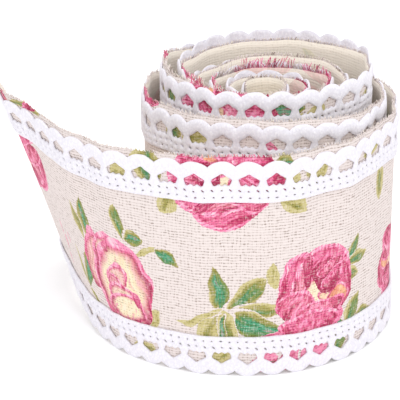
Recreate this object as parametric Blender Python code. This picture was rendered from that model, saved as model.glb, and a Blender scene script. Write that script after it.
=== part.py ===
"""A loose roll of printed linen ribbon with a lace trim along both edges, standing on its lower edge.

Millimetres until the meshes are made, +Z up, origin under the middle of the footprint. The outer end
leaves the roll at the front left as a free tail that leans outwards, and the turns inside the first
one are pushed up out of it.
"""

from math import hypot

import bpy
import numpy as np

MM = 0.001

RIBBON_WIDTH = 60.0
LINEN_THICKNESS = 1.1
LACE_WIDTH = 11.0
LACE_THICKNESS = 1.0
LACE_CLEARANCE = 0.35
RAW_EDGE = 0.6
SCALLOP_PITCH = 6.6
SCALLOP_DEPTH = 1.7

LINEN_STEP = 8.0
PATH_STEP = 1.0

# The outer end and the front of the first turn, from the free end inwards. The angle is the lower
# edge's, seen from above round the roll's axis, 0 to the right and -90 to the front. The reach is its
# distance from the axis and the lift its height. The flare is how much further out the upper edge
# lies, and the skew how many degrees further along.
OUTER_COLUMNS = ("angle", "reach", "lift", "flare", "skew")
OUTER_SECTIONS = (
    (-213.0, 56.5, 9.5, 17.0, 21.0),
    (-190.0, 51.5, 5.5, 15.0, 12.5),
    (-171.0, 47.3, 2.0, 11.5, 5.5),
    (-154.0, 45.8, 0.3, 8.0, 1.5),
    (-138.0, 44.4, 0.0, 4.6, 0.0),
    (-115.0, 42.2, 0.0, 1.9, 0.0),
    (-90.0, 39.8, 0.0, 0.6, 0.0),
    (-62.0, 37.2, 0.0, -0.9, 0.0),
    (-38.0, 35.8, 0.0, -1.0, 0.0),
    (-12.0, 34.8, 0.0, 0.0, 0.0),
    (20.0, 34.2, 0.0, 0.0, 0.0),
)

# Each turn further in, as (reach, lift) at the back, the left, the front and the right.
TURN_QUARTERS = ("back", "left", "front", "right")
TURNS = (
    ((33.4, 0.0), (30.8, 3.6), (31.7, 6.0), (31.4, 3.4)),
    ((30.2, 7.0), (26.0, 10.2), (24.6, 12.0), (27.4, 12.0)),
    ((25.5, 11.2), (21.0, 9.6), (20.5, 8.0), (22.0, 6.8)),
    ((18.6, 5.6), (17.2, 6.4), (16.4, 6.6), (17.4, 6.2)),
    ((14.2, 5.8), (13.0, 5.8), (12.0, 5.6), (11.6, 5.4)),
    ((9.8, 5.2), (8.2, 5.2), (7.6, 5.2), (6.4, 5.0)),
    ((5.0, 4.8), (4.2, 4.8)),
)
FIRST_BACK = 90.0
QUARTER_TURN = 90.0

LINEN_COLOUR = (0.84, 0.77, 0.69)
LACE_COLOUR = (0.93, 0.93, 0.96)


def clear_scene():
    for obj in list(bpy.data.objects):
        bpy.data.objects.remove(obj)


def sections():
    """Every section of the path in one array, with the columns of OUTER_COLUMNS."""
    rows = [list(row) for row in OUTER_SECTIONS]
    angle = FIRST_BACK
    for turn in TURNS:
        for reach, lift in turn:
            rows.append([angle, reach, lift, 0.0, 0.0])
            angle += QUARTER_TURN
    return np.array(rows)


def smooth_through(x, stations, values):
    """A smooth curve through unevenly spaced stations, each slope taken from its two neighbours."""
    spans = np.diff(stations)
    steps = np.diff(values) / spans
    slopes = np.empty_like(values)
    slopes[1:-1] = (steps[:-1] * spans[1:] + steps[1:] * spans[:-1]) / (spans[:-1] + spans[1:])
    slopes[0], slopes[-1] = steps[0], steps[-1]
    i = np.clip(np.searchsorted(stations, x, side="right") - 1, 0, len(spans) - 1)
    t = (x - stations[i]) / spans[i]
    start = (1 + 2 * t) * (1 - t) ** 2 * values[i] + t * (1 - t) ** 2 * spans[i] * slopes[i]
    end = t**2 * (3 - 2 * t) * values[i + 1] - t**2 * (1 - t) * spans[i] * slopes[i + 1]
    return start + end


def edges(angles):
    """The lower and the upper edge of the ribbon's middle sheet, before it is centred."""
    table = sections()
    reach, lift, flare, skew = (smooth_through(angles, table[:, 0], table[:, k]) for k in range(1, 5))
    lift = np.maximum(lift, 0.0)
    below, above = np.radians(angles), np.radians(angles + skew)
    lower = np.stack([reach * np.cos(below), reach * np.sin(below), lift], axis=1)
    out = reach + flare
    upper = np.stack([out * np.cos(above), out * np.sin(above), lift], axis=1)
    sideways = np.hypot(*(upper - lower)[:, :2].T)
    upper[:, 2] += np.sqrt(RIBBON_WIDTH**2 - sideways**2)
    return lower, upper


def level_normals(edge):
    """The level directions that point out of the roll along an edge."""
    along = np.gradient(edge, axis=0)
    normals = np.stack([along[:, 1], -along[:, 0]], axis=1)
    return normals / np.hypot(*normals.T)[:, None]


class Path:
    """The ribbon's sheet, measured along its middle line from the free outer end."""

    def __init__(self):
        first, last = OUTER_SECTIONS[0][0], sections()[-1, 0]
        self.angles = np.arange(first, last + PATH_STEP / 2, PATH_STEP)
        self.lower, self.upper = edges(self.angles)
        self.out_lower, self.out_upper = level_normals(self.lower), level_normals(self.upper)
        middle = (self.lower + self.upper) / 2
        steps = np.linalg.norm(np.diff(middle, axis=0), axis=1)
        self.along = np.concatenate([[0.0], np.cumsum(steps)])
        self.length = self.along[-1]

    def read(self, values, place):
        return np.array([np.interp(place, self.along, column) for column in values.T])

    def point(self, place, height, off):
        """A point at a place along the ribbon, a height across it and a distance off its middle sheet."""
        share = height / RIBBON_WIDTH
        point = (1 - share) * self.read(self.lower, place) + share * self.read(self.upper, place)
        out = (1 - share) * self.read(self.out_lower, place) + share * self.read(self.out_upper, place)
        point[:2] += off * out / hypot(*out)
        return point


def strip_mesh(name, path, rows, off_inner, off_outer):
    """A closed strip of four-cornered sections. Each row is (place along, lower height, upper height)."""
    points = []
    for place, low, high in rows:
        for height, off in ((low, off_inner), (low, off_outer), (high, off_outer), (high, off_inner)):
            points.append(path.point(place, height, off))
    faces = [(0, 1, 2, 3)]
    for row in range(len(rows) - 1):
        a, b = 4 * row, 4 * row + 4
        faces += [(a + k, b + k, b + (k + 1) % 4, a + (k + 1) % 4) for k in range(4)]
    last = 4 * (len(rows) - 1)
    faces.append((last + 3, last + 2, last + 1, last))
    mesh = bpy.data.meshes.new(name)
    mesh.from_pydata([tuple(p) for p in points], [], faces)
    return mesh


def linen_rows(path):
    """One section every few degrees, over the ribbon's whole width."""
    angles = np.arange(path.angles[0], path.angles[-1], LINEN_STEP)
    places = np.interp(angles, path.angles, path.along)
    return [(place, 0.0, RIBBON_WIDTH) for place in (*places, path.length)]


def scalloped_rows(path, at_top):
    """Three sections a scallop: the notch between two lobes and the two shoulders of a lobe."""
    scallops = round(path.length / SCALLOP_PITCH)
    rows = []
    for step in range(3 * scallops + 1):
        place = path.length * step / (3 * scallops)
        notch = SCALLOP_DEPTH if step % 3 == 0 else 0.0
        if at_top:
            edge = RIBBON_WIDTH - RAW_EDGE
            rows.append((place, edge - LACE_WIDTH, edge - notch))
        else:
            rows.append((place, notch, LACE_WIDTH))
    return rows


def principled(name, colour, roughness):
    material = bpy.data.materials.new(name)
    material.use_nodes = True
    shader = material.node_tree.nodes["Principled BSDF"]
    shader.inputs["Base Color"].default_value = (*colour, 1.0)
    shader.inputs["Roughness"].default_value = roughness
    shader.inputs["Metallic"].default_value = 0.0
    return material


def add_piece(mesh, material):
    mesh.materials.append(material)
    mesh.shade_smooth()
    mesh.set_sharp_from_angle(angle=np.radians(40.0))
    piece = bpy.data.objects.new(mesh.name, mesh)
    bpy.context.scene.collection.objects.link(piece)
    return piece


def centre_on_origin(meshes):
    """Moves the meshes to metres, with the middle of their footprint over the origin."""
    corners = np.array([v.co for mesh in meshes for v in mesh.vertices])
    middle = (corners.min(axis=0) + corners.max(axis=0)) / 2
    for mesh in meshes:
        for vertex in mesh.vertices:
            vertex.co.x = (vertex.co.x - middle[0]) * MM
            vertex.co.y = (vertex.co.y - middle[1]) * MM
            vertex.co.z *= MM


def build():
    clear_scene()
    path = Path()
    half = LINEN_THICKNESS / 2
    lace_inner = half + LACE_CLEARANCE
    lace_outer = lace_inner + LACE_THICKNESS

    linen = strip_mesh("linen_ribbon", path, linen_rows(path), -half, half)
    upper = strip_mesh("upper_lace", path, scalloped_rows(path, True), lace_inner, lace_outer)
    lower = strip_mesh("lower_lace", path, scalloped_rows(path, False), lace_inner, lace_outer)
    centre_on_origin((linen, upper, lower))

    add_piece(linen, principled("printed_linen", LINEN_COLOUR, 0.9))
    lace = principled("cotton_lace", LACE_COLOUR, 0.85)
    add_piece(upper, lace)
    add_piece(lower, lace)


build()
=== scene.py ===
"""A loose roll of printed linen ribbon, edged on both sides with crocheted cotton lace.

Everything is worked out flat first, in millimetres: x runs along the ribbon from its free outer end, y
up it from the lower edge and z off its middle sheet, towards the printed face. The last step of each
Geometry Nodes tree lays the flat piece along the ribbon's path, in metres, in the frame of the model.
"""

from math import cos, pi, radians, sin

import bmesh
import bpy
import numpy as np
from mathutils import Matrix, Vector
from mathutils.geometry import delaunay_2d_cdt


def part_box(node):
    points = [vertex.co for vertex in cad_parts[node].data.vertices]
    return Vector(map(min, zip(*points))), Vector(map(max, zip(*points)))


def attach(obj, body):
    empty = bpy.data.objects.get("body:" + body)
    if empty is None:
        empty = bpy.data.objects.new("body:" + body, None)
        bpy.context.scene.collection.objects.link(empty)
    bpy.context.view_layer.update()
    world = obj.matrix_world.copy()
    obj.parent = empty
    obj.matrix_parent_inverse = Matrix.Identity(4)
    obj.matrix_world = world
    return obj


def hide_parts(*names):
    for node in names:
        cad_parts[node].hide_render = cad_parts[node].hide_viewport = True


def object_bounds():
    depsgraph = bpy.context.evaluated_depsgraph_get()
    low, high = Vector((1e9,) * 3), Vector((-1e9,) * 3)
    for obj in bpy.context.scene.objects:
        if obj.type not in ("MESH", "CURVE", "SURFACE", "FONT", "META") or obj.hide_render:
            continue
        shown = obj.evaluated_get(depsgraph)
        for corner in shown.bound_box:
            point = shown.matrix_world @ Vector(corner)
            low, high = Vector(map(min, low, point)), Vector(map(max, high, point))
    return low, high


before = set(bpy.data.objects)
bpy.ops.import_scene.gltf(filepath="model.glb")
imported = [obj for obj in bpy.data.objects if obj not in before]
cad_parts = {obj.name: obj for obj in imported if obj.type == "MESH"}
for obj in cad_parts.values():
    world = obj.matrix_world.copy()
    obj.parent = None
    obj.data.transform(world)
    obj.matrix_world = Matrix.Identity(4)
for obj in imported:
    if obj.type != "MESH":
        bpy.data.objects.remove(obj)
CAD_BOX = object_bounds()

MM = 0.001

# The ribbon, as cut.
RIBBON_WIDTH = 60.0
LINEN_THICKNESS = 0.6
LACE_WIDTH = 11.0
LACE_GAP = 0.12
RAW_EDGE = 0.6
SCALLOP_PITCH = 6.6
SCALLOP_DEPTH = 1.35
PATH_STEP = 1.0

# The outer end and the front of the first turn, from the free end inwards, as in the model. The angle
# is the lower edge's, seen from above round the roll's axis, 0 to the right and -90 to the front. The
# reach is its distance from the axis and the lift its height. The flare is how much further out the
# upper edge lies, and the skew how many degrees further along.
OUTER_SECTIONS = (
    # angle, reach, lift, flare, skew
    (-213.0, 56.5, 9.5, 17.0, 21.0),
    (-190.0, 51.5, 5.5, 15.0, 12.5),
    (-171.0, 47.3, 2.0, 11.5, 5.5),
    (-154.0, 45.8, 0.3, 8.0, 1.5),
    (-138.0, 44.4, 0.0, 4.6, 0.0),
    (-115.0, 42.2, 0.0, 1.9, 0.0),
    (-90.0, 39.8, 0.0, 0.6, 0.0),
    (-62.0, 37.2, 0.0, -0.9, 0.0),
    (-38.0, 35.8, 0.0, -1.0, 0.0),
    (-12.0, 34.8, 0.0, 0.0, 0.0),
    (20.0, 34.2, 0.0, 0.0, 0.0),
)

# Each turn further in, as (reach, lift) at the back, the left, the front and the right.
TURNS = (
    # back, left, front, right
    ((33.4, 0.0), (30.8, 3.6), (31.7, 6.0), (31.4, 3.4)),
    ((30.2, 7.0), (26.0, 10.2), (24.6, 12.0), (27.4, 12.0)),
    ((25.5, 11.2), (21.0, 9.6), (20.5, 8.0), (22.0, 6.8)),
    ((18.6, 5.6), (17.2, 6.4), (16.4, 6.6), (17.4, 6.2)),
    ((14.2, 5.8), (13.0, 5.8), (12.0, 5.6), (11.6, 5.4)),
    ((9.8, 5.2), (8.2, 5.2), (7.6, 5.2), (6.4, 5.0)),
    ((5.0, 4.8), (4.2, 4.8)),
)
FIRST_BACK = 90.0
QUARTER_TURN = 90.0

# Slow waves in the cloth, so that no rim is a clean curve: a wave's length along the ribbon, how far in
# and out it moves the upper edge and the lower edge, and its phase.
WAVES = (
    # length, upper, lower, phase
    (53.0, 0.40, 0.15, 0.4),
    (21.0, 0.40, 0.10, 2.1),
    (12.7, 0.25, 0.06, 4.0),
)

# How the raw upper edge was cut: how far it stands above the tips of the scallops, or below them where
# it is negative, and how long its loose threads are.
RAW_EDGES = (
    # along, above the scallops, fray
    (0.0, 1.0, 0.6),
    (22.0, 1.6, 0.7),
    (36.0, 0.9, 0.6),
    (60.0, 0.6, 0.6),
    (90.0, 0.9, 0.8),
    (160.0, 0.5, 0.7),
    (262.0, 0.6, 0.8),
    (310.0, 0.7, 0.8),
    (350.0, 0.2, 0.6),
    (384.0, -1.4, 0.4),
    (408.0, -2.6, 0.4),
    (432.0, -1.2, 0.6),
    (450.0, 0.3, 1.5),
    (473.0, 0.0, 0.8),
    (492.0, -0.9, 0.5),
    (533.0, -1.5, 0.4),
    (555.0, -2.7, 0.6),
    (575.0, -3.1, 0.7),
    (597.0, -3.0, 0.7),
    (612.0, -1.0, 0.9),
    (628.0, 0.4, 1.5),
    (644.0, -0.2, 0.8),
    (678.0, -0.8, 0.6),
    (698.0, 0.3, 0.9),
    (712.0, 0.2, 0.9),
    (725.0, -0.8, 0.6),
    (740.0, -1.2, 0.5),
    (765.0, 0.2, 0.7),
    (791.0, -0.6, 1.4),
    (805.0, -1.4, 2.4),
    (827.0, -1.5, 2.4),
    (840.0, -0.8, 1.4),
    (857.0, 0.0, 0.8),
    (876.0, -1.2, 0.6),
    (893.0, -1.9, 0.4),
    (907.0, -1.5, 0.5),
    (925.0, 0.0, 0.9),
    (948.0, 0.2, 0.9),
)

# Printed motifs on one repeat of the design, in millimetres along and up the ribbon. Kind 0 is a full
# rose, deep pink to the heart, and kind 1 an open one, cream inside a pink rim. The ribbon was cut a
# little off the grain, so the design sinks by the drift for each millimetre along it. Each wobble of
# its edges is (how many to a millimetre, how far).
PRINT_REPEAT = 394.0
PRINT_DRIFT = 0.008
PRINT_WOBBLES = ((0.11, 5.0), (1.7, 0.7))
ROSES = (
    # along, height, half width, half height, turn, kind
    (18.0, 39.5, 13.0, 9.4, 196.0, 0),
    (18.0, 60.6, 5.5, 2.6, 0.0, 0),
    (10.0, 70.0, 14.0, 8.5, 0.0, 0),
    (34.0, 70.0, 13.0, 8.5, 30.0, 0),
    (53.0, 67.0, 6.0, 5.5, 0.0, 0),
    (58.5, 22.0, 11.5, 14.0, 12.0, 1),
    (89.4, 54.8, 13.8, 13.4, 128.0, 0),
    (113.5, 22.4, 12.0, 13.0, 0.0, 0),
    (149.5, 19.5, 11.5, 11.5, 182.0, 0),
    (181.0, 30.0, 10.5, 11.5, 300.0, 0),
    (220.0, 26.0, 11.5, 12.5, 150.0, 1),
    (225.0, 66.0, 10.0, 6.0, 0.0, 0),
    (246.0, 44.0, 12.0, 12.0, 40.0, 0),
    (271.0, 65.5, 9.0, 5.0, 0.0, 0),
    (290.0, 22.0, 12.0, 13.0, 200.0, 0),
    (332.0, 36.0, 11.0, 12.0, 20.0, 1),
    (372.0, 22.0, 12.0, 12.0, 80.0, 0),
)

# Leaves, stems and loose brush marks, each from its foot. The tone is 0 olive, 1 green, 2 teal, 3 pink.
STROKES = (
    # along, height, length, width, turn, tone
    (30.0, 26.0, 5.0, 0.7, -70.0, 3.0),
    (32.0, 22.0, 4.0, 0.7, -60.0, 3.0),
    (34.0, 25.0, 3.0, 0.7, -50.0, 3.0),
    (33.0, 17.5, 4.0, 0.7, -75.0, 3.0),
    (22.0, 60.6, 13.0, 2.2, -4.0, 1.0),
    (47.0, 23.5, 6.0, 1.0, 86.0, 1.0),
    (47.0, 28.0, 12.0, 2.6, 113.0, 0.8),
    (48.0, 28.0, 13.5, 3.8, 95.0, 1.6),
    (46.0, 14.0, 12.5, 1.8, 122.0, 0.4),
    (50.5, 9.5, 7.0, 1.4, 136.0, 0.8),
    (45.8, 14.0, 11.5, 4.0, 84.0, 1.7),
    (62.0, 34.0, 11.0, 4.0, 100.0, 1.4),
    (62.5, 35.0, 6.0, 5.0, 14.0, 1.6),
    (64.5, 30.5, 10.0, 1.8, 26.0, 0.3),
    (71.5, 34.0, 9.0, 3.4, -28.0, 1.8),
    (68.0, 12.0, 6.5, 4.2, 48.0, 0.3),
    (64.0, 11.0, 12.5, 2.6, -5.0, 1.5),
    (89.3, 16.8, 15.3, 5.4, 104.0, 1.7),
    (89.5, 17.0, 16.4, 5.4, 51.0, 1.3),
    (91.0, 18.0, 15.0, 4.6, 8.0, 1.0),
    (89.5, 17.6, 17.5, 6.4, -18.0, 1.7),
    (90.0, 19.0, 12.5, 8.0, -116.0, 0.5),
    (90.0, 19.0, 12.5, 5.4, -78.0, 0.7),
    (90.0, 17.5, 9.5, 1.8, -92.0, 2.0),
    (89.0, 17.5, 12.0, 2.0, 195.0, 0.3),
    (101.5, 26.0, 6.5, 3.2, 86.0, 0.2),
    (122.5, 26.5, 9.5, 4.0, 62.0, 1.5),
    (122.5, 27.0, 10.0, 4.0, 16.0, 1.3),
    (121.5, 24.5, 7.5, 4.6, -10.0, 1.2),
    (123.0, 9.5, 10.5, 5.4, 58.0, 1.4),
    (123.5, 9.0, 11.0, 4.6, 14.0, 1.5),
    (121.0, 13.0, 5.0, 3.4, -82.0, 2.1),
    (112.0, 12.5, 16.0, 2.8, 187.0, 3.0),
    (103.5, 49.5, 7.5, 5.4, -24.0, 0.5),
    (77.5, 51.0, 6.5, 5.4, -125.0, 0.4),
    (60.0, 53.0, 7.5, 6.0, 22.0, 0.3),
    (70.3, 50.5, 12.5, 7.0, 88.0, 1.1),
    (103.6, 51.5, 9.0, 7.0, 70.0, 0.5),
    (100.5, 58.2, 8.5, 6.5, 5.0, 2.0),
    (112.0, 51.0, 9.0, 7.0, 75.0, 0.3),
    (129.5, 55.0, 9.0, 4.5, 20.0, 0.4),
    (138.0, 51.0, 11.0, 4.5, -80.0, 0.7),
    (162.4, 51.1, 12.0, 4.5, 40.0, 1.1),
    (155.0, 30.3, 13.0, 4.5, 72.0, 1.2),
    (161.5, 33.8, 15.0, 5.0, -30.0, 1.2),
    (163.6, 19.2, 14.0, 5.0, 24.0, 1.5),
    (183.0, 8.4, 12.0, 4.5, 70.0, 0.9),
    (192.0, 40.0, 12.0, 4.5, 40.0, 1.5),
    (205.0, 32.0, 12.0, 4.5, 120.0, 1.2),
    (212.0, 12.0, 13.0, 5.0, 160.0, 1.5),
    (231.0, 18.0, 13.0, 5.0, -20.0, 1.0),
    (236.0, 38.0, 11.0, 4.0, -130.0, 0.8),
    (256.0, 34.0, 14.0, 5.0, -50.0, 1.6),
    (262.0, 20.0, 12.0, 4.5, 120.0, 0.7),
    (281.0, 57.0, 7.0, 6.5, 0.0, 1.3),
    (288.0, 56.6, 7.5, 6.0, 0.0, 0.4),
    (300.0, 34.0, 13.0, 5.0, 60.0, 1.5),
    (309.0, 55.6, 3.8, 3.6, 0.0, 3.0),
    (316.0, 14.0, 12.0, 5.0, 150.0, 1.2),
    (350.0, 20.0, 13.0, 5.0, 30.0, 1.0),
    (345.0, 48.0, 11.0, 4.0, -20.0, 0.6),
    (382.0, 34.0, 12.0, 5.0, 70.0, 1.5),
    (384.0, 14.0, 11.0, 5.0, -30.0, 1.2),
    (63.0, 3.5, 8.0, 4.0, 12.0, 0.5),
    (84.0, 3.0, 8.0, 5.0, 30.0, 0.5),
    (95.5, 4.5, 9.0, 6.0, -5.0, 3.0),
    (103.5, 4.5, 8.0, 7.0, 6.0, 2.9),
    (109.5, 4.0, 8.0, 6.0, 20.0, 3.1),
    (119.0, 2.0, 8.0, 5.0, 72.0, 1.4),
)
STROKE_BEND = 0.25

# The petals of both kinds of rose, the back ones first, in shares of its half width and half height.
# The paint inside its lip runs from -1, darkest pink, through 0, pink, and 1, cream, to 2, orange.
PETALS = (
    # kind, x, y, half width, half height, turn, paint
    (0, 0.30, 0.50, 0.56, 0.48, -14.0, 0.0),
    (0, 0.70, 0.02, 0.28, 0.52, -10.0, -0.3),
    (0, -0.46, 0.26, 0.44, 0.66, -24.0, 0.0),
    (0, -0.26, 0.08, 0.42, 0.60, -14.0, 0.15),
    (0, 0.04, -0.60, 0.74, 0.38, 4.0, 0.0),
    (0, 0.02, -0.06, 0.40, 0.36, -20.0, 1.0),
    (0, 0.34, -0.10, 0.30, 0.14, -8.0, 1.3),
    (0, 0.58, -0.20, 0.27, 0.24, -30.0, 1.9),
    (0, 0.32, 0.34, 0.44, 0.37, -30.0, -0.4),
    (0, 0.36, 0.46, 0.34, 0.12, 24.0, 0.05),
    (0, 0.44, 0.24, 0.32, 0.11, 28.0, 0.0),
    (0, -0.18, 0.46, 0.12, 0.36, -8.0, -0.5),
    (0, -0.46, -0.20, 0.46, 0.34, -18.0, 0.05),
    (0, 0.10, -0.40, 0.66, 0.22, 8.0, 0.05),
    (0, -0.08, -0.66, 0.80, 0.30, 4.0, 0.0),
    (1, -0.66, 0.34, 0.30, 0.62, -8.0, 0.5),
    (1, -0.18, 0.42, 0.54, 0.50, 24.0, 1.0),
    (1, 0.14, -0.08, 0.84, 0.90, 14.0, 1.0),
    (1, -0.56, 0.20, 0.045, 0.50, -2.0, -0.7),
    (1, 0.10, 0.06, 0.36, 0.28, 8.0, 0.6),
    (1, 0.02, -0.06, 0.28, 0.20, -26.0, 0.25),
    (1, 0.08, -0.28, 0.44, 0.26, -16.0, 0.75),
    (1, 0.12, -0.52, 0.52, 0.28, -10.0, 1.0),
    (1, 0.48, -0.40, 0.09, 0.14, -24.0, 0.0),
    (1, -0.12, 0.62, 0.05, 0.16, 40.0, -0.1),
)
# The two kinds lie side by side on one sheet of petals, this many half widths apart.
ROSE_GAP = 4.0

# The camera has a long lens and stands well in front of the roll and a little above it.
CAMERA_PLACE = (2.03, -496.15, 250.28)
CAMERA_TILT = 66.25
CAMERA_LENS = 183.4
CAMERA_SHIFT = 0.0057
ROOM_LIGHT = 0.87
PAPER_SIZE = 6.0
PAPER_GLOW = 0.12
SOFTBOXES = (
    # name, place in metres, size, power
    ("key_softbox", (0.06, -0.44, 0.5), 0.45, 0.9),
    ("top_softbox", (0.02, -0.05, 0.7), 0.45, 1.0),
)


def srgb(code):
    """The linear colour of a hex value such as F4EDE2."""
    parts = (int(code[k : k + 2], 16) / 255 for k in (0, 2, 4))
    return (*(c / 12.92 if c <= 0.04045 else ((c + 0.055) / 1.055) ** 2.4 for c in parts), 1.0)


def in_use(sockets, key=None):
    """A node's first socket in use, or the one with this name: it keeps others for other data types."""
    if isinstance(key, int):
        return sockets[key]
    return next(socket for socket in sockets if socket.enabled and key in (None, socket.name))


def node(tree, kind, inputs=(), stops=(), **settings):
    """Adds a node with its settings and, on a colour ramp, its stops, as (place, hex colour). Each input,
    in order or by name, is given a value, or is linked to another node's output or its first output."""
    made = tree.nodes.new(kind)
    for name, value in settings.items():
        setattr(made, name, value)
    for k, (place, code) in enumerate(stops):
        elements = made.color_ramp.elements
        element = elements[k] if k < len(elements) else elements.new(1.0)
        element.position, element.color = place, srgb(code)
    for key, value in inputs.items() if isinstance(inputs, dict) else enumerate(inputs):
        if isinstance(value, bpy.types.Node):
            value = in_use(value.outputs)
        if isinstance(value, bpy.types.NodeSocket):
            tree.links.new(value, in_use(made.inputs, key))
        else:
            in_use(made.inputs, key).default_value = value
    return made


def add_object(name, data):
    """A new object in the scene."""
    made = bpy.data.objects.new(name, data)
    bpy.context.scene.collection.objects.link(made)
    return made


# ---- The ribbon's path ------------------------------------------------------------------------------


def sections():
    """Every section of the path in one array: its angle, reach, lift, flare and skew."""
    rows = [list(row) for row in OUTER_SECTIONS]
    angle = FIRST_BACK
    for turn in TURNS:
        for reach, lift in turn:
            rows.append([angle, reach, lift, 0.0, 0.0])
            angle += QUARTER_TURN
    return np.array(rows)


def smooth_through(x, stations, values):
    """A smooth curve through unevenly spaced stations, each slope taken from its two neighbours."""
    spans = np.diff(stations)
    steps = np.diff(values) / spans
    slopes = np.empty_like(values)
    slopes[1:-1] = (steps[:-1] * spans[1:] + steps[1:] * spans[:-1]) / (spans[:-1] + spans[1:])
    slopes[0], slopes[-1] = steps[0], steps[-1]
    i = np.clip(np.searchsorted(stations, x, side="right") - 1, 0, len(spans) - 1)
    t = (x - stations[i]) / spans[i]
    start = (1 + 2 * t) * (1 - t) ** 2 * values[i] + t * (1 - t) ** 2 * spans[i] * slopes[i]
    end = t**2 * (3 - 2 * t) * values[i + 1] - t**2 * (1 - t) * spans[i] * slopes[i + 1]
    return start + end


def edges():
    """The lower and the upper edge of the ribbon's middle sheet, round the roll's axis."""
    table = sections()
    angles = np.arange(table[0, 0], table[-1, 0] + PATH_STEP / 2, PATH_STEP)
    reach, lift, flare, skew = (smooth_through(angles, table[:, 0], table[:, k]) for k in range(1, 5))
    lift = np.maximum(lift, 0.0)
    below, above = np.radians(angles), np.radians(angles + skew)
    lower = np.stack([reach * np.cos(below), reach * np.sin(below), lift], axis=1)
    out = reach + flare
    upper = np.stack([out * np.cos(above), out * np.sin(above), lift], axis=1)
    sideways = np.hypot(*(upper - lower)[:, :2].T)
    upper[:, 2] += np.sqrt(RIBBON_WIDTH**2 - sideways**2)
    return lower, upper


def outward(line):
    """The level directions that point out of the roll along a line."""
    along = np.gradient(line, axis=0)
    normals = np.stack([along[:, 1], -along[:, 0], np.zeros(len(line))], axis=1)
    return normals / np.linalg.norm(normals, axis=1)[:, None]


def guide_line():
    """The ribbon's middle line as an object, with the directions across and out of it, and its length."""
    lower, upper = edges()
    middle = (lower + upper) / 2
    out = outward(middle)
    steps = np.linalg.norm(np.diff(middle, axis=0), axis=1)
    along = np.concatenate([[0.0], np.cumsum(steps)])
    for length, top, foot, phase in WAVES:
        wave = np.sin(2 * pi * along / length + phase)[:, None] * out
        upper = upper + top * wave
        lower = lower + foot * wave
    low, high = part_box("linen_ribbon")
    held = np.concatenate([lower, upper])
    centre = (held.min(axis=0) + held.max(axis=0)) / 2
    shift = np.array([(low[k] + high[k]) / 2 / MM - centre[k] for k in (0, 1)] + [0.0])
    middle = (lower + upper) / 2 + shift
    across = (upper - lower) / np.linalg.norm(upper - lower, axis=1)[:, None]

    mesh = bpy.data.meshes.new("ribbon_middle_line")
    count = len(middle)
    mesh.from_pydata([tuple(p * MM) for p in middle], [(k, k + 1) for k in range(count - 1)], [])
    for name, values in (("across", across), ("out", out)):
        layer = mesh.attributes.new(name, "FLOAT_VECTOR", "POINT")
        layer.data.foreach_set("vector", np.ascontiguousarray(values, dtype=np.float32).ravel())
    cut = np.array(RAW_EDGES)
    for column, name in ((1, "above_scallops"), (2, "fray")):
        layer = mesh.attributes.new(name, "FLOAT", "POINT")
        layer.data.foreach_set("value", smooth_through(along, cut[:, 0], cut[:, column]).astype(np.float32))
    guide = add_object(mesh.name, mesh)
    steps = np.linalg.norm(np.diff(middle, axis=0), axis=1)
    return guide, steps.sum()


# ---- Geometry Nodes ---------------------------------------------------------------------------------


SOCKETS = {float: "NodeSocketFloat", int: "NodeSocketInt", tuple: "NodeSocketVector"}


def tree_with(name, inputs):
    """A Geometry Nodes tree, and the values that its inputs bring in. The inputs are given by name, each
    with its default or, where it can't have one, its type of socket."""
    tree = bpy.data.node_groups.new(name, "GeometryNodeTree")
    tree.interface.new_socket("Geometry", in_out="OUTPUT", socket_type="NodeSocketGeometry")
    for label, value in inputs.items():
        kind = SOCKETS.get(type(value), value)
        socket = tree.interface.new_socket(label, in_out="INPUT", socket_type=kind)
        if kind != value:
            socket.default_value = value
    return tree, node(tree, "NodeGroupInput").outputs


def read_guide(tree, guide, name, kind):
    """Reads one of the guide line's attributes at the place along the ribbon that a point's x gives."""
    line = node(tree, "GeometryNodeObjectInfo", {"Object": guide}).outputs["Geometry"]
    line = node(tree, "GeometryNodeMeshToCurve", {"Mesh": line})
    flat = node(tree, "ShaderNodeSeparateXYZ", [node(tree, "GeometryNodeInputPosition")])
    along = node(tree, "ShaderNodeMath", [flat.outputs["X"], MM], operation="MULTIPLY")
    value = node(tree, "GeometryNodeInputNamedAttribute", {"Name": name}, data_type=kind)
    return node(
        tree,
        "GeometryNodeSampleCurve",
        {"Curves": line, "Value": value.outputs["Attribute"], "Length": along},
        data_type=kind,
        mode="LENGTH",
    ).outputs


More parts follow.
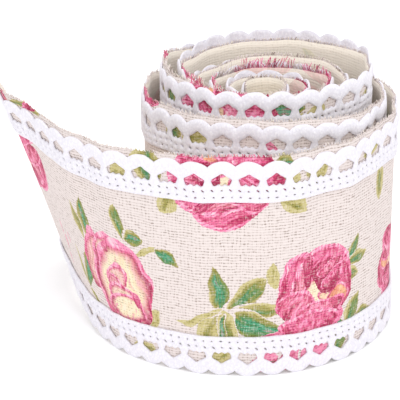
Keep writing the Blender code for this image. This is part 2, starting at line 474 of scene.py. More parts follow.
def lay_along_ribbon():
    """A group that bends flat geometry, in millimetres, along the guide line, in metres."""
    tree, given = tree_with(
        "lay along the ribbon",
        {
            "Geometry": "NodeSocketGeometry",
            "Guide": "NodeSocketObject",
            "Width": RIBBON_WIDTH,
        },
    )
    across = read_guide(tree, given["Guide"], "across", "FLOAT_VECTOR")
    out = read_guide(tree, given["Guide"], "out", "FLOAT_VECTOR")
    x, y, z = node(tree, "ShaderNodeSeparateXYZ", [node(tree, "GeometryNodeInputPosition")]).outputs
    half = node(tree, "ShaderNodeMath", [given["Width"], 0.5], operation="MULTIPLY")
    up = node(tree, "ShaderNodeMath", [y, half], operation="SUBTRACT")
    # Threads past the cut ends run on along the line's own direction.
    guide = node(tree, "GeometryNodeObjectInfo", {"Object": given["Guide"]}).outputs["Geometry"]
    line = node(tree, "GeometryNodeMeshToCurve", {"Mesh": guide})
    length = node(tree, "GeometryNodeCurveLength", {"Curve": line})
    longest = node(tree, "ShaderNodeMath", [length, 1 / MM], operation="MULTIPLY")
    held = node(tree, "ShaderNodeClamp", {"Value": x, "Min": 0.0, "Max": longest})
    past = node(tree, "ShaderNodeMath", [x, held], operation="SUBTRACT")
    place = across["Position"]
    for direction, amount in (
        (across["Value"], up),
        (out["Value"], z),
        (across["Tangent"], past),
    ):
        move = node(tree, "ShaderNodeVectorMath", {0: direction, "Scale": amount}, operation="SCALE")
        move = node(tree, "ShaderNodeVectorMath", {0: move, "Scale": MM}, operation="SCALE")
        place = node(tree, "ShaderNodeVectorMath", [place, move], operation="ADD")
    laid = node(tree, "GeometryNodeSetPosition", {"Geometry": given["Geometry"], "Position": place})
    node(tree, "NodeGroupOutput", [laid])
    return tree


def keep_place(tree, geometry):
    """Stores each point's flat place, which the materials take their patterns from."""
    return node(
        tree,
        "GeometryNodeStoreNamedAttribute",
        {"Geometry": geometry, "Name": "flat", "Value": node(tree, "GeometryNodeInputPosition")},
        data_type="FLOAT_VECTOR",
        domain="POINT",
    )


def finish_tree(tree, given, geometry, laying):
    """Lays the piece along the ribbon and gives it its material."""
    laid = node(
        tree, "GeometryNodeGroup", {"Geometry": geometry, "Guide": given["Guide"]}, node_tree=laying
    )
    smooth = node(tree, "GeometryNodeSetShadeSmooth", {"Geometry": laid})
    coloured = node(tree, "GeometryNodeSetMaterial", {"Geometry": smooth, "Material": given["Material"]})
    node(tree, "NodeGroupOutput", [coloured])


def linen_tree(laying):
    """The woven sheet: a fine grid with a front and a back face, its raw edges a little ragged."""
    tree, given = tree_with(
        "linen sheet",
        {
            "Length": 900.0,
            "Width": 59.0,
            "Thickness": LINEN_THICKNESS,
            "Columns": 700,
            "Rows": 30,
            "Lower edge": 0.5,
            "Raggedness": 0.3,
            "Guide": "NodeSocketObject",
            "Material": "NodeSocketMaterial",
        },
    )
    grid = node(
        tree,
        "GeometryNodeMeshGrid",
        {
            "Size X": given["Length"],
            "Size Y": given["Width"],
            "Vertices X": given["Columns"],
            "Vertices Y": given["Rows"],
        },
    )
    half_length = node(tree, "ShaderNodeMath", [given["Length"], 0.5], operation="MULTIPLY")
    half_width = node(
        tree, "ShaderNodeMath", [given["Width"], 0.5, given["Lower edge"]], operation="MULTIPLY_ADD"
    )
    half_thick = node(tree, "ShaderNodeMath", [given["Thickness"], -0.5], operation="MULTIPLY")
    corner = node(tree, "ShaderNodeCombineXYZ", [half_length, half_width, half_thick])
    sheet = node(tree, "GeometryNodeTransform", {"Geometry": grid, "Translation": corner})
    # The upper edge goes where it was cut, and the rows below it share the difference.
    place = node(tree, "ShaderNodeSeparateXYZ", [node(tree, "GeometryNodeInputPosition")])
    cut = read_guide(tree, given["Guide"], "above_scallops", "FLOAT")["Value"]
    share = node(tree, "ShaderNodeMath", [place.outputs["Y"], given["Width"]], operation="DIVIDE")
    rise = node(tree, "ShaderNodeMath", [share, cut], operation="MULTIPLY")
    rise = node(tree, "ShaderNodeCombineXYZ", {"Y": rise})
    sheet = node(tree, "GeometryNodeSetPosition", {"Geometry": sheet, "Offset": rise})
    # The outermost rows wander by the raggedness.
    noise = node(tree, "ShaderNodeTexNoise", {"Scale": 0.9, "Detail": 2.0}, noise_dimensions="3D")
    wander = node(tree, "ShaderNodeMath", [noise, 0.5], operation="SUBTRACT")
    rim = node(tree, "GeometryNodeInputMeshEdgeNeighbors")
    rim = node(tree, "FunctionNodeCompare", {"A": rim, "B": 1}, data_type="INT", operation="EQUAL")
    amount = node(tree, "ShaderNodeMath", [wander, given["Raggedness"]], operation="MULTIPLY")
    move = node(tree, "ShaderNodeCombineXYZ", {"Y": amount})
    ragged = node(tree, "GeometryNodeSetPosition", {"Geometry": sheet, "Selection": rim, "Offset": move})
    rise = node(tree, "ShaderNodeCombineXYZ", {"Z": given["Thickness"]})
    front = node(
        tree,
        "GeometryNodeExtrudeMesh",
        {"Mesh": ragged, "Offset": rise, "Offset Scale": 1.0, "Individual": False},
        mode="FACES",
    )
    back = node(tree, "GeometryNodeFlipFaces", {"Mesh": ragged})
    joined = node(tree, "GeometryNodeJoinGeometry", [front])
    tree.links.new(back.outputs[0], joined.inputs[0])
    closed = node(tree, "GeometryNodeMergeByDistance", {"Geometry": joined, "Distance": 0.001})
    whole = node(tree, "GeometryNodeRealizeInstances", {"Geometry": closed})
    finish_tree(tree, given, keep_place(tree, whole), laying)
    return tree


def frayed_tree(laying):
    """Loose thread ends along a raw edge, each coloured like the print where it leaves the cloth."""
    tree, given = tree_with(
        "frayed edge",
        {
            "Count": 100,
            "Start": (0.0, 0.0, 0.0),
            "Step": (0.6, 0.0, 0.0),
            "Turn": 0.0,
            "Shortest": 0.5,
            "Longest": 1.6,
            "Thread radius": 0.1,
            "Splay": 0.55,
            "Follows the cut": 0.0,
            "Seed": 3,
            "Guide": "NodeSocketObject",
            "Material": "NodeSocketMaterial",
        },
    )
    line = node(
        tree,
        "GeometryNodeMeshLine",
        {"Count": given["Count"], "Start Location": given["Start"], "Offset": given["Step"]},
    )
    cut = read_guide(tree, given["Guide"], "above_scallops", "FLOAT")["Value"]
    rise = node(tree, "ShaderNodeMath", [cut, given["Follows the cut"]], operation="MULTIPLY")
    rise = node(tree, "ShaderNodeCombineXYZ", {"Y": rise})
    line = node(tree, "GeometryNodeSetPosition", {"Geometry": line, "Offset": rise})
    shift = node(
        tree,
        "FunctionNodeRandomValue",
        {"Min": FRAY_SHIFT[0], "Max": FRAY_SHIFT[1], "Seed": given["Seed"]},
        data_type="FLOAT_VECTOR",
    )
    line = node(tree, "GeometryNodeSetPosition", {"Geometry": line, "Offset": shift})
    line = keep_place(tree, line)
    thread = node(
        tree,
        "GeometryNodeMeshCone",
        {
            "Vertices": 4,
            "Side Segments": 1,
            "Fill Segments": 1,
            "Radius Top": given["Thread radius"],
            "Radius Bottom": given["Thread radius"],
            "Depth": 1.0,
        },
        fill_type="NGON",
    )
    lengths = node(
        tree,
        "FunctionNodeRandomValue",
        {"Min": given["Shortest"], "Max": given["Longest"], "Seed": given["Seed"]},
        data_type="FLOAT",
    )
    fray = read_guide(tree, given["Guide"], "fray", "FLOAT")["Value"]
    fray = node(
        tree,
        "ShaderNodeMix",
        {"Factor": given["Follows the cut"], "A": 1.0, "B": fray},
        data_type="FLOAT",
    )
    long = node(tree, "ShaderNodeMath", [lengths, fray], operation="MULTIPLY")
    size = node(tree, "ShaderNodeCombineXYZ", [1.0, 1.0, long])
    splay = node(tree, "ShaderNodeMath", [given["Splay"], -1.0], operation="MULTIPLY")
    tilt = node(
        tree,
        "FunctionNodeRandomValue",
        {"Min": splay, "Max": given["Splay"], "Seed": given["Seed"]},
        data_type="FLOAT",
    )
    turn = node(tree, "ShaderNodeMath", [tilt, given["Turn"]], operation="ADD")
    # The thread's own Z is laid down along the cloth's height, leaning a little out of the cloth's
    # plane, then turned in that plane.
    lean = node(
        tree,
        "FunctionNodeRandomValue",
        {"Min": -pi / 2 - FRAY_LEAN, "Max": -pi / 2 + FRAY_LEAN, "Seed": LEAN_SEED},
        data_type="FLOAT",
    )
    upright = node(tree, "ShaderNodeCombineXYZ", [lean])
    upright = node(tree, "FunctionNodeEulerToRotation", [upright])
    spin = node(tree, "ShaderNodeCombineXYZ", {"Z": turn})
    spin = node(tree, "FunctionNodeEulerToRotation", [spin])
    aimed = node(tree, "FunctionNodeRotateRotation", [upright, spin], rotation_space="GLOBAL")
    threads = node(
        tree,
        "GeometryNodeInstanceOnPoints",
        {"Points": line, "Instance": thread, "Rotation": aimed, "Scale": size},
    )
    whole = node(tree, "GeometryNodeRealizeInstances", {"Geometry": threads})
    finish_tree(tree, given, whole, laying)
    return tree


def lace_tree(laying):
    """A run of lace: one flat repeat after another, joined edge to edge and worked a little unevenly."""
    tree, given = tree_with(
        "lace run",
        {
            "Repeat": "NodeSocketObject",
            "Count": 10,
            "Pitch": SCALLOP_PITCH,
            "Height": 0.0,
            "Off": 0.4,
            "Half turns": 0.0,
            "Unevenness": 0.35,
            "Guide": "NodeSocketObject",
            "Material": "NodeSocketMaterial",
        },
    )
    half = node(tree, "ShaderNodeMath", [given["Pitch"], 0.5], operation="MULTIPLY")
    start = node(tree, "ShaderNodeCombineXYZ", [half, given["Height"], given["Off"]])
    step = node(tree, "ShaderNodeCombineXYZ", [given["Pitch"]])
    line = node(
        tree, "GeometryNodeMeshLine", {"Count": given["Count"], "Start Location": start, "Offset": step}
    )
    scallop = node(tree, "GeometryNodeObjectInfo", {"Object": given["Repeat"]}).outputs["Geometry"]
    angle = node(tree, "ShaderNodeMath", [given["Half turns"], pi], operation="MULTIPLY")
    turn = node(tree, "ShaderNodeCombineXYZ", {"Z": angle})
    turn = node(tree, "FunctionNodeEulerToRotation", [turn])
    stretch = node(tree, "ShaderNodeMath", [given["Pitch"], SCALLOP_PITCH], operation="DIVIDE")
    size = node(tree, "ShaderNodeCombineXYZ", [stretch, 1.0, 1.0])
    run = node(
        tree,
        "GeometryNodeInstanceOnPoints",
        {"Points": line, "Instance": scallop, "Rotation": turn, "Scale": size},
    )
    whole = node(tree, "GeometryNodeRealizeInstances", {"Geometry": run})
    whole = node(tree, "GeometryNodeMergeByDistance", {"Geometry": whole, "Distance": 0.01})
    noise = node(tree, "ShaderNodeTexNoise", {"Scale": 0.28, "Detail": 1.0}, noise_dimensions="3D")
    wander = node(
        tree, "ShaderNodeVectorMath", [noise.outputs["Color"], (0.5, 0.5, 0.5)], operation="SUBTRACT"
    )
    wander = node(tree, "ShaderNodeVectorMath", [wander, (1.6, 1.6, 0.5)], operation="MULTIPLY")
    wander = node(
        tree, "ShaderNodeVectorMath", {0: wander, "Scale": given["Unevenness"]}, operation="SCALE"
    )
    whole = keep_place(tree, whole)
    worked = node(tree, "GeometryNodeSetPosition", {"Geometry": whole, "Offset": wander})
    finish_tree(tree, given, worked, laying)
    return tree


def grown(name, tree, values):
    """Runs a Geometry Nodes tree with these inputs and returns what it makes as a plain mesh object."""
    holder = add_object(name + "_holder", bpy.data.meshes.new(name + "_holder"))
    growth = holder.modifiers.new("growth", "NODES")
    growth.node_group = tree
    for socket in tree.interface.items_tree:
        if socket.in_out == "INPUT" and socket.name in values:
            growth[socket.identifier] = values[socket.name]
    graph = bpy.context.evaluated_depsgraph_get()
    mesh = bpy.data.meshes.new_from_object(holder.evaluated_get(graph), depsgraph=graph)
    mesh.name = name
    holder.modifiers.remove(growth)
    bpy.data.objects.remove(holder)
    return add_object(name, mesh)


def close_ends(piece):
    """Caps the openings that are left where a run of repeats starts and stops."""
    shape = bmesh.new()
    shape.from_mesh(piece.data)
    bmesh.ops.holes_fill(shape, edges=[edge for edge in shape.edges if edge.is_boundary])
    shape.to_mesh(piece.data)
    shape.free()


# ---- One repeat of the lace -------------------------------------------------------------------------


# The repeat runs up from its straight edge at 0 to its lobe. The hole under the lobe is shaped like a
# house, and the face rises from the body over a rounded shoulder to a crown.
HOUSE_APEX = 7.75
HOUSE_SHOULDER = 6.1
HOUSE_FOOT = 4.5
HOUSE_BUMP = 0.42
LACE_BODY = 0.3
LACE_SHOULDER = 0.52
LACE_CROWN = 0.25
LACE_ROUNDING = 0.16
LACE_CELL = 1.1
LACE_CROWN_WIDTH = 1.2
LOBE_ROUNDNESS = 2.3
LOBE_POINTS = 10
LOBE_CORNER = 1.4
SIDE_RUNGS = 8
# Spare points stay this far from any edge and from the repeat's sides.
SPARE_MARGIN = 0.32
SIDE_MARGIN = 0.3
NEAR = 1e-6
# The slits between stitches below the hole.
SLITS = (
    # x, y, long, wide, slant
    (-2.25, 3.2, 0.85, 0.34, -36.0),
    (-0.05, 3.05, 0.6, 0.3, -20.0),
    (2.1, 3.25, 0.95, 0.36, -40.0),
    (-1.9, 1.45, 0.55, 0.3, -6.0),
    (0.3, 1.3, 0.7, 0.32, 8.0),
    (2.45, 1.4, 0.4, 0.28, -12.0),
)


def house_hole():
    """The hole under a lobe: a pointed roof, drawn-in walls and two small bumps in the floor."""
    right = [
        (0.0, HOUSE_FOOT - 0.05),
        (0.35, HOUSE_FOOT + 0.12),
        (0.8, HOUSE_FOOT + HOUSE_BUMP),
        (1.25, HOUSE_FOOT + 0.12),
        (1.7, HOUSE_FOOT - 0.1),
        (2.1, HOUSE_FOOT + 0.15),
        (2.45, HOUSE_SHOULDER - 0.45),
        (2.5, HOUSE_SHOULDER - 0.05),
        (2.15, HOUSE_SHOULDER + 0.3),
        (1.0, HOUSE_APEX - 0.65),
        (0.3, HOUSE_APEX - 0.1),
    ]
    left = [(-x, y) for x, y in reversed(right[1:])]
    return right + [(0.0, HOUSE_APEX)] + left


def slit(x, y, long, wide, slant):
    """A small six-cornered slit between stitches."""
    turn = radians(slant)
    corners = [(0.5, 0.0), (0.25, 0.5), (-0.25, 0.5), (-0.5, 0.0), (-0.25, -0.5), (0.25, -0.5)]
    return [
        (
            x + a * long * cos(turn) - b * wide * sin(turn),
            y + a * long * sin(turn) + b * wide * cos(turn),
        )
        for a, b in corners
    ]


def lace_loops():
    """The repeat's outline, counter-clockwise, and its holes, clockwise."""
    half = SCALLOP_PITCH / 2
    cells = round(SCALLOP_PITCH / LACE_CELL)
    foot = [(-half + SCALLOP_PITCH * k / cells, 0.0) for k in range(cells + 1)]
    notch = LACE_WIDTH - SCALLOP_DEPTH
    side = [notch * k / SIDE_RUNGS for k in range(1, SIDE_RUNGS)]
    lobe = []
    for k in range(LOBE_POINTS + 1):
        x = half * (1 - 2 * k / LOBE_POINTS)
        lobe.append((x, LACE_WIDTH - SCALLOP_DEPTH * abs(x / half) ** LOBE_ROUNDNESS))
    outline = foot + [(half, y) for y in side] + lobe + [(-half, y) for y in reversed(side)]
    holes = [house_hole()] + [slit(*row) for row in SLITS]
    return outline, [hole[::-1] for hole in holes]


def inset(loop, amount):
    """The loop moved into the material on its left, its points on the repeat's sides kept there."""
    points = np.array(loop)
    ahead = np.roll(points, -1, axis=0) - points
    ahead /= np.linalg.norm(ahead, axis=1)[:, None]
    tangent = ahead + np.roll(ahead, 1, axis=0)
    tangent /= np.linalg.norm(tangent, axis=1)[:, None]
    moved = points + amount * np.stack([-tangent[:, 1], tangent[:, 0]], axis=1)
    # The repeat's corners move along its sides only.
    on_side = np.abs(np.abs(points[:, 0]) - SCALLOP_PITCH / 2) < NEAR
    moved[on_side] = points[on_side]
    ends = on_side & ((points[:, 1] < NEAR) | (points[:, 1] > LACE_WIDTH - SCALLOP_DEPTH - NEAR))
    moved[ends, 1] += np.where(points[ends, 1] < NEAR, amount, -LOBE_CORNER * amount)
    return moved


def inside(point, loop):
    """Whether a point lies inside a loop, by counting the edges to its right."""
    x, y = point
    odd = False
    for (x0, y0), (x1, y1) in zip(loop, np.roll(loop, -1, axis=0)):
        if (y0 > y) != (y1 > y) and x < x0 + (y - y0) * (x1 - x0) / (y1 - y0):
            odd = not odd
    return odd


def nearest_edge(point, loops):
    """The distance from a point to the nearest edge of any loop, the repeat's own sides left out."""
    best = LACE_WIDTH
    for loop in loops:
        starts = np.array(loop)
        runs = np.roll(starts, -1, axis=0) - starts
        limit = SCALLOP_PITCH / 2 - NEAR
        real = ~((np.abs(starts[:, 0]) > limit) & (np.abs((starts + runs)[:, 0]) > limit))
        starts, runs = starts[real], runs[real]
        t = np.clip(((point - starts) * runs).sum(axis=1) / (runs**2).sum(axis=1), 0, 1)
        best = min(best, np.linalg.norm(starts + t[:, None] * runs - point, axis=1).min())
    return best


def layer(loops, spare):
    """The points and the triangles of one flat layer between its outline and its holes."""
    points, edges_of, first = [], [], 0
    for loop in loops:
        count = len(loop)
        points += [Vector(p) for p in loop]
        edges_of += [(first + k, first + (k + 1) % count) for k in range(count)]
        first += count
    points += [Vector(p) for p in spare]
    made, _, faces, *_ = delaunay_2d_cdt(points, edges_of, [], 0, 1e-5)
    kept = []
    for face in faces:
        middle = sum((made[k] for k in face), Vector((0.0, 0.0))) / 3
        if inside(middle, loops[0]) and not any(inside(middle, hole) for hole in loops[1:]):
            kept.append(tuple(face))
    return made, kept


def lace_repeat():
    """One scallop of crocheted lace, flat, with its crowned face, rounded edges and flat back."""
    outline, holes = lace_loops()
    loops = [np.array(outline), *[np.array(hole) for hole in holes]]
    tops = [inset(loop, LACE_ROUNDING) for loop in loops]
    cells = round(SCALLOP_PITCH / LACE_CELL)
    rows = round(2 * LACE_WIDTH / LACE_CELL)
    spare = []
    for column in range(1, 2 * cells):
        for row in range(1, rows):
            x = -SCALLOP_PITCH / 2 + SCALLOP_PITCH * column / (2 * cells)
            y = (row + 0.5 * (column % 2)) * LACE_CELL / 2
            point = np.array([x, y])
            if not inside(point, tops[0]) or any(inside(point, hole) for hole in tops[1:]):
                continue
            if nearest_edge(point, tops) > SPARE_MARGIN and abs(x) < SCALLOP_PITCH / 2 - SIDE_MARGIN:
                spare.append(point)
    coarse = [p for k, p in enumerate(spare) if k % 3 == 0]

    vertices, faces = [], []

    def add_layer(loops_at, spare_at, height, flip):
        made, triangles = layer(loops_at, spare_at)
        first = len(vertices)
        vertices.extend((p.x, p.y, height(p)) for p in made)
        for face in triangles:
            turned = face[::-1] if flip else face
            faces.append(tuple(first + k for k in turned))
        return first

    def crown(point):
        # A point on one side of the repeat meets its twin on the other, so both get one height.
        twins = [point] if abs(point.x) < SCALLOP_PITCH / 2 - NEAR else [point, (-point.x, point.y)]
        rise = min(1.0, *(nearest_edge(np.array(twin), tops) / LACE_CROWN_WIDTH for twin in twins))
        return LACE_SHOULDER + LACE_CROWN * rise * (2 - rise)

    back = add_layer(loops, coarse, lambda point: 0.0, True)
    face = add_layer(tops, spare, crown, False)
    wall = len(vertices)
    for loop in loops:
        vertices.extend((x, y, LACE_BODY) for x, y in loop)
    start = 0
    for loop in loops:
        count = len(loop)
        for k in range(count):
            a, b = start + k, start + (k + 1) % count
            ends = loop[k], loop[(k + 1) % count]
            if all(abs(abs(p[0]) - SCALLOP_PITCH / 2) < NEAR for p in ends):
                continue
            faces.append((back + a, back + b, wall + b, wall + a))
            faces.append((wall + a, wall + b, face + b, face + a))
        start += count
    mesh = bpy.data.meshes.new("lace_repeat")
    mesh.from_pydata(vertices, [], faces)
    mesh.validate()
    return bpy.data.objects.new("lace_repeat", mesh)


# ---- Materials --------------------------------------------------------------------------------------


# The threads' spacing, in millimetres. The weft lies closer than the warp.
WARP_PITCH = 1.0
WEFT_PITCH = 0.78

# Colours, each from its darkest shade to its lightest. The leaves' run from straw through olive, green
# and teal to the pink of the loose marks.
# The linen's ground is darkest where its threads sink: painted shade in the grooves between threads.
LINEN_GROUND_AND_GROOVE_SHADE = ((0.0, "B9AAA5"), (0.4, "DBCECA"), (1.0, "EBE0DD"))
# The painted shade that is multiplied into the gaps between threads.
LINEN_GAP_SHADE = "C2B9B2"
LINEN_REVERSE = "FFF7E6"
ROSE_PINKS = (
    (0.0, "AC2C56"),
    (0.2, "CC4470"),
    (0.4, "E0648E"),
    (0.6, "F084AC"),
    (0.8, "F69EC2"),
    (1.0, "FBD0DC"),
)
ROSE_CREAMS = ((0.0, "EE9FB4"), (0.06, "F3C0B8"), (0.16, "F1DDB8"), (0.6, "F7ECCF"), (1.0, "F9E4DA"))
ROSE_ORANGES = ((0.0, "D4705A"), (0.5, "EE9E78"), (1.0, "F6D49A"))
LEAF_GREENS = (
    (0.0, "CBC086"),
    (0.12, "A89E58"),
    (0.24, "93924C"),
    (0.38, "6F8E4E"),
    (0.52, "4C8A60"),
    (0.64, "55AE88"),
    (0.84, "CF4C78"),
    (1.0, "F08FB2"),
)
# The cotton's darker end is painted shade, a lilac grey, between the stitches' loops.
COTTON_WHITES_AND_PIT_SHADE = ((0.0, "EAE7F0"), (0.45, "F7F5FB"), (1.0, "FDFBFF"))
PAPER_WHITES = ((0.0, "FAFAFA"), (1.0, "FEFEFE"))

# Where the search for the topmost motif starts, well off every motif, and how far from its middle, in
# its own half sizes, a rose or a stroke is looked for.
FAR_OFF = 9.0
ROSE_REACH = 1.2
STROKE_REACH = 1.04


def shader_tree(name, roughness, sheen):
    """A new material's tree, its Principled shader set up for cloth."""
    material = bpy.data.materials.new(name)
    material.use_nodes = True
    tree = material.node_tree
    shader = tree.nodes["Principled BSDF"]
    shader.inputs["Roughness"].default_value = roughness
    shader.inputs["IOR"].default_value = 1.5
    shader.inputs["Specular IOR Level"].default_value = 0.25
    shader.inputs["Sheen Weight"].default_value = sheen
    shader.inputs["Sheen Roughness"].default_value = 0.5
    return material, tree, shader


def dress(tree, shader, colour, relief=None):
    """Gives a shader its colour and, where the surface has one, its relief."""
    tree.links.new(in_use(colour.outputs), shader.inputs["Base Color"])
    if relief:
        tree.links.new(relief.outputs[0], shader.inputs["Normal"])


def brush_marks(tree, place, fineness, detail):
    """Streaks of paint or fibre, from -0.5 to 0.5, finer along some directions than along others."""
    drawn = node(tree, "ShaderNodeVectorMath", [place, fineness], operation="MULTIPLY")
    grain = node(tree, "ShaderNodeTexNoise", {"Vector": drawn, "Scale": 1.0, "Detail": detail})
    return node(tree, "ShaderNodeMath", [grain, 0.5], operation="SUBTRACT")


def in_turn(tree, spot, chosen):
    """The spot, unchanged, but only once the last choice is made: a shader can't hold the coordinates
    of every motif at once."""
    return node(tree, "ShaderNodeVectorMath", [chosen, (0.0, 0.0, 0.0), spot], operation="MULTIPLY_ADD")


def lay_over(tree, chosen, spot, place, turn, size, middle, reach):
    """The coordinates within a motif where it covers the cloth, and elsewhere those chosen before it.
    The motif is mapped to its own size, and its middle is where that mapping puts it."""
    local = node(
        tree,
        "ShaderNodeMapping",
        {
            "Vector": spot,
            "Location": place,
            "Rotation": (0.0, 0.0, radians(turn)),
            "Scale": (*size, 1.0),
        },
        vector_type="TEXTURE",
    )
    off = node(tree, "ShaderNodeVectorMath", [local, middle], operation="DISTANCE")
    covers = node(tree, "ShaderNodeMath", [off, reach], operation="LESS_THAN")
    return node(tree, "ShaderNodeMix", {"Factor": covers, "A": chosen, "B": local}, data_type="VECTOR")


def rose_place(tree, spot):
    """At each place on the cloth, its coordinates within the rose that covers it, or far off."""
    chosen = node(tree, "ShaderNodeCombineXYZ", [-FAR_OFF, FAR_OFF])
    for along, height, half_width, half_height, turn, kind in ROSES:
        aside = ROSE_GAP * kind * half_width
        place = (along - aside * cos(radians(turn)), height - aside * sin(radians(turn)), 0.0)
        middle = (ROSE_GAP * kind, 0.0, 0.0)
        spot_now = in_turn(tree, spot, chosen)
        size = (half_width, half_height)
        chosen = lay_over(tree, chosen, spot_now, place, turn, size, middle, ROSE_REACH)
    return chosen


def petal_place(tree, local):
    """Its coordinates within the topmost petal, the lip at a length of 1, and the paint inside it."""
    chosen = node(tree, "ShaderNodeCombineXYZ", [FAR_OFF, FAR_OFF])
    for kind, x, y, half_width, half_height, turn, paint in PETALS:
        place, middle = (x + ROSE_GAP * kind, y, -paint), (0.0, 0.0, paint)
        size = (half_width, half_height)
        chosen = lay_over(tree, chosen, local, place, turn, size, middle, 1.0)
    return chosen


def rose_print(tree, spot):
    """The roses' colour, and where they cover the cloth."""
    petal = petal_place(tree, rose_place(tree, spot))
    _, up, paint = node(tree, "ShaderNodeSeparateXYZ", [petal]).outputs
    flat = node(tree, "ShaderNodeVectorMath", [petal, (1.0, 1.0, 0.0)], operation="MULTIPLY")
    size = node(tree, "ShaderNodeVectorMath", [flat], operation="LENGTH")
    cover = node(tree, "ShaderNodeMath", [size, 1.01], operation="LESS_THAN")

    # Brush strokes run from the petal's foot to its lip.
    brushed = brush_marks(tree, petal, (8.0, 1.5, 6.0), 2.5)
    worn = node(tree, "ShaderNodeMath", [brushed, 0.22, size], operation="MULTIPLY_ADD")
    worn = node(tree, "ShaderNodeMath", [up, 0.1, worn], operation="MULTIPLY_ADD")

    # A hot pink lip, a dark line inside it towards the top, and a shaded foot.
    lip = node(
        tree, "ShaderNodeMapRange", {"Value": worn, "From Min": 0.84, "From Max": 0.93, "To Max": 0.44}
    )
    line = node(
        tree, "ShaderNodeMapRange", {"Value": worn, "From Min": 0.6, "From Max": 0.84, "To Max": -0.24}
    )
    foot = node(
        tree,
        "ShaderNodeMapRange",
        {"Value": up, "From Min": -0.9, "From Max": 0.5, "To Min": 0.16, "To Max": 0.52},
    )
    light = node(tree, "ShaderNodeMath", [lip, line], operation="ADD")
    light = node(tree, "ShaderNodeMath", [light, foot], operation="ADD")
    deep = node(tree, "ShaderNodeMath", [paint, 0.0], operation="MINIMUM")
    light = node(tree, "ShaderNodeMath", [deep, 0.5, light], operation="MULTIPLY_ADD")
    light = node(tree, "ShaderNodeMath", [brushed, 2.2, light], operation="MULTIPLY_ADD")
    pink = node(tree, "ShaderNodeValToRGB", {"Fac": light}, stops=ROSE_PINKS)

    # Inside the lip the paint pales to cream, or warms to orange.
    pale = node(tree, "ShaderNodeValToRGB", {"Fac": light}, stops=ROSE_CREAMS)
    warm = node(tree, "ShaderNodeValToRGB", {"Fac": light}, stops=ROSE_ORANGES)
    warmth = node(tree, "ShaderNodeMapRange", {"Value": paint, "From Min": 1.0, "From Max": 2.0})
    within = node(tree, "ShaderNodeMix", {"Factor": warmth, "A": pale, "B": warm}, data_type="RGBA")
    open_share = node(tree, "ShaderNodeMapRange", {"Value": worn, "From Min": 0.86, "From Max": 0.62})
    bare = node(tree, "ShaderNodeMath", [paint, open_share], operation="MULTIPLY", use_clamp=True)
    rose = node(tree, "ShaderNodeMix", {"Factor": bare, "A": pink, "B": within}, data_type="RGBA")
    return rose, cover


def stroke_place(tree, spot):
    """Its coordinates within the topmost leaf or mark: -1 to 1 from foot to tip and across."""
    chosen = node(tree, "ShaderNodeCombineXYZ", [FAR_OFF, FAR_OFF])
    for along, height, length, width, turn, tone in STROKES:
        ahead, up = cos(radians(turn)) * length / 2, sin(radians(turn)) * length / 2
        place, middle = (along + ahead, height + up, -tone), (0.0, 0.0, tone)
        spot_now = in_turn(tree, spot, chosen)
        size = (length / 2, width / 2)
        chosen = lay_over(tree, chosen, spot_now, place, turn, size, middle, STROKE_REACH)
    return chosen


def leaf_reach(tree, local):
    """From 0 at a leaf's middle to 1 at its edge: a bent oval, pointed at both ends."""
    x, y, _ = node(tree, "ShaderNodeSeparateXYZ", [local]).outputs
    square = node(tree, "ShaderNodeMath", [x, x], operation="MULTIPLY")
    bent = node(tree, "ShaderNodeMath", [square, STROKE_BEND, y], operation="MULTIPLY_ADD")
    side = node(tree, "ShaderNodeMath", [bent], operation="ABSOLUTE")
    blunt = node(tree, "ShaderNodeMath", [square, 1.15], operation="POWER")
    return node(tree, "ShaderNodeMath", [side, blunt], operation="ADD")


def plain_weave(tree, spot):
    """Over the cloth, how high its threads stand, and how far each place is from a gap between them."""
    slack = node(tree, "ShaderNodeTexNoise", {"Vector": spot, "Scale": 0.35, "Detail": 2.0})
    spot = node(
        tree,
        "ShaderNodeVectorMath",
        [slack.outputs["Color"], (0.8, 0.8, 0.0), spot],
        operation="MULTIPLY_ADD",
    )
    cells = node(
        tree,
        "ShaderNodeVectorMath",
        [spot, (pi / WARP_PITCH, pi / WEFT_PITCH, 0.0)],
        operation="MULTIPLY",
    )
    cells = node(tree, "ShaderNodeVectorMath", [cells], operation="SINE")
    cells = node(tree, "ShaderNodeVectorMath", [cells], operation="ABSOLUTE")
    warp, weft, _ = node(tree, "ShaderNodeSeparateXYZ", [cells]).outputs
    ends = node(tree, "ShaderNodeMath", [warp, 0.5, 0.5], operation="MULTIPLY_ADD")
    over = node(tree, "ShaderNodeMath", [ends, weft], operation="MULTIPLY")
    threads = node(tree, "ShaderNodeMapRange", {"Value": over, "From Max": 0.7, "To Min": 0.32})
    # The weft lies closer than the warp, so each gap is a short level slit.
    across = node(tree, "ShaderNodeMath", [warp, 0.75], operation="MULTIPLY")
    up = node(tree, "ShaderNodeMath", [weft, 1.25], operation="MULTIPLY")
    gap = node(tree, "ShaderNodeMath", [across, up], operation="MAXIMUM")
    return threads, gap


